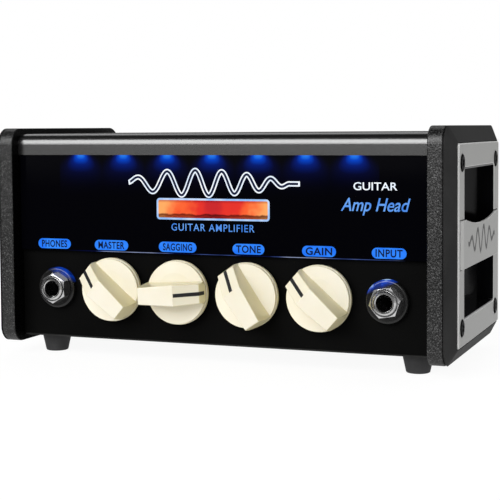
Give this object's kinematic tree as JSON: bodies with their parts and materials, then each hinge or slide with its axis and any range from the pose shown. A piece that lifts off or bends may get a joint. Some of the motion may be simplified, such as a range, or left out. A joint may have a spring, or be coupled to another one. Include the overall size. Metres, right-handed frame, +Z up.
{
  "type": "guitar amplifier head",
  "caption": "Compact guitar amplifier head with a lit glossy panel, pointer knobs, quarter-inch jacks, textured cheeks and a carrying pocket with strap in each side.",
  "frame": {"origin": "bottom centre of the bounding box, on the plane the feet stand on", "axes": "+X to the player's right, -Y out of the control panel towards the player, +Z up"},
  "size_m": [0.1958, 0.1046, 0.0946],
  "materials": {
    "textured_black": "fine-grained textured black coat",
    "satin_black": "smooth satin black",
    "panel_black": "matt black powder coat",
    "side_grey": "satin grey paint",
    "gloss_black": "polished black",
    "black_screw": "blackened steel",
    "rubber": "moulded black rubber",
    "chrome": "bright nickel plate",
    "dark_collar": "satin black plastic",
    "jack_body": "black nylon",
    "cream": "cream moulded plastic",
    "ink": "black filled line",
    "steel": "plain turned steel",
    "rear_plastic": "black moulded plastic",
    "circuit_board": "green solder mask",
    "lamp": "blue lamp body",
    "brass": "turned brass",
    "heatsink": "extruded aluminium",
    "component_dark": "sleeved component",
    "cable_grey": "flat grey cable"
  },
  "bodies": {
    "head": {"acrylic_panel": "gloss_black", "amplifier_chip": "rear_plastic", "aux_jack": "rear_plastic", "board_screws": "steel", "board_standoffs": "brass", "chassis_tray": "panel_black", "control_board": "circuit_board", "cover_screws": "black_screw", "dc_inlet": "rear_plastic", "filter_capacitors": "component_dark", "foot_screws": "black_screw", "front_pots": "steel", "heatsink": "heatsink", "input_jack": "jack_body", "jack_collars": "dark_collar", "jack_nuts": "chrome", "led_board": "circuit_board", "led_board_posts": "brass", "left_cheek": "textured_black", "left_handle_strap": "side_grey", "left_moulding": "satin_black", "left_pocket_tub": "gloss_black", "left_side_panel": "side_grey", "left_side_screws": "black_screw", "main_board": "circuit_board", "output_inductors": "component_dark", "panel_leds": "lamp", "phones_jack": "jack_body", "pot_nuts": "steel", "pot_washers": "steel", "rear_pots": "steel", "ribbon_cable": "cable_grey", "right_cheek": "textured_black", "right_handle_strap": "side_grey", "right_moulding": "satin_black", "right_pocket_tub": "gloss_black", "right_side_panel": "side_grey", "right_side_screws": "black_screw", "rubber_feet": "rubber", "speaker_jack": "jack_body", "switch_frame": "rear_plastic", "top_cover": "textured_black"},
    "master_control": {"master_knob": "cream", "master_pointer_line": "ink", "master_shaft": "steel"},
    "sagging_control": {"sagging_knob": "cream", "sagging_pointer_line": "ink", "sagging_shaft": "steel"},
    "tone_control": {"tone_knob": "cream", "tone_pointer_line": "ink", "tone_shaft": "steel"},
    "gain_control": {"gain_knob": "cream", "gain_pointer_line": "ink", "gain_shaft": "steel"},
    "presence_control": {"presence_knob": "rear_plastic", "presence_shaft": "steel"},
    "resonance_control": {"resonance_knob": "rear_plastic", "resonance_shaft": "steel"},
    "power_switch": {"power_rocker": "rear_plastic"}
  },
  "joints": [
    {"name": "master_turn", "type": "hinge", "parent": "head", "child": "master_control", "pos_m": [-0.04425, -0.03665, 0.029], "axis": [0, 1, 0], "range_deg": [-100, 200]},
    {"name": "sagging_turn", "type": "hinge", "parent": "head", "child": "sagging_control", "pos_m": [-0.01475, -0.03665, 0.029], "axis": [0, 1, 0], "range_deg": [-237, 63]},
    {"name": "tone_turn", "type": "hinge", "parent": "head", "child": "tone_control", "pos_m": [0.01475, -0.03665, 0.029], "axis": [0, 1, 0], "range_deg": [-116, 184]},
    {"name": "gain_turn", "type": "hinge", "parent": "head", "child": "gain_control", "pos_m": [0.04425, -0.03665, 0.029], "axis": [0, 1, 0], "range_deg": [-101, 199]},
    {"name": "presence_turn", "type": "hinge", "parent": "head", "child": "presence_control", "pos_m": [-0.02, 0.04435, 0.028], "axis": [0, -1, 0], "range_deg": [-150, 150]},
    {"name": "resonance_turn", "type": "hinge", "parent": "head", "child": "resonance_control", "pos_m": [0.006, 0.04435, 0.028], "axis": [0, -1, 0], "range_deg": [-150, 150]},
    {"name": "power_rock", "type": "hinge", "parent": "head", "child": "power_switch", "pos_m": [-0.046, 0.04275, 0.028], "axis": [1, 0, 0], "range_deg": [-18, 0]}
  ]
}
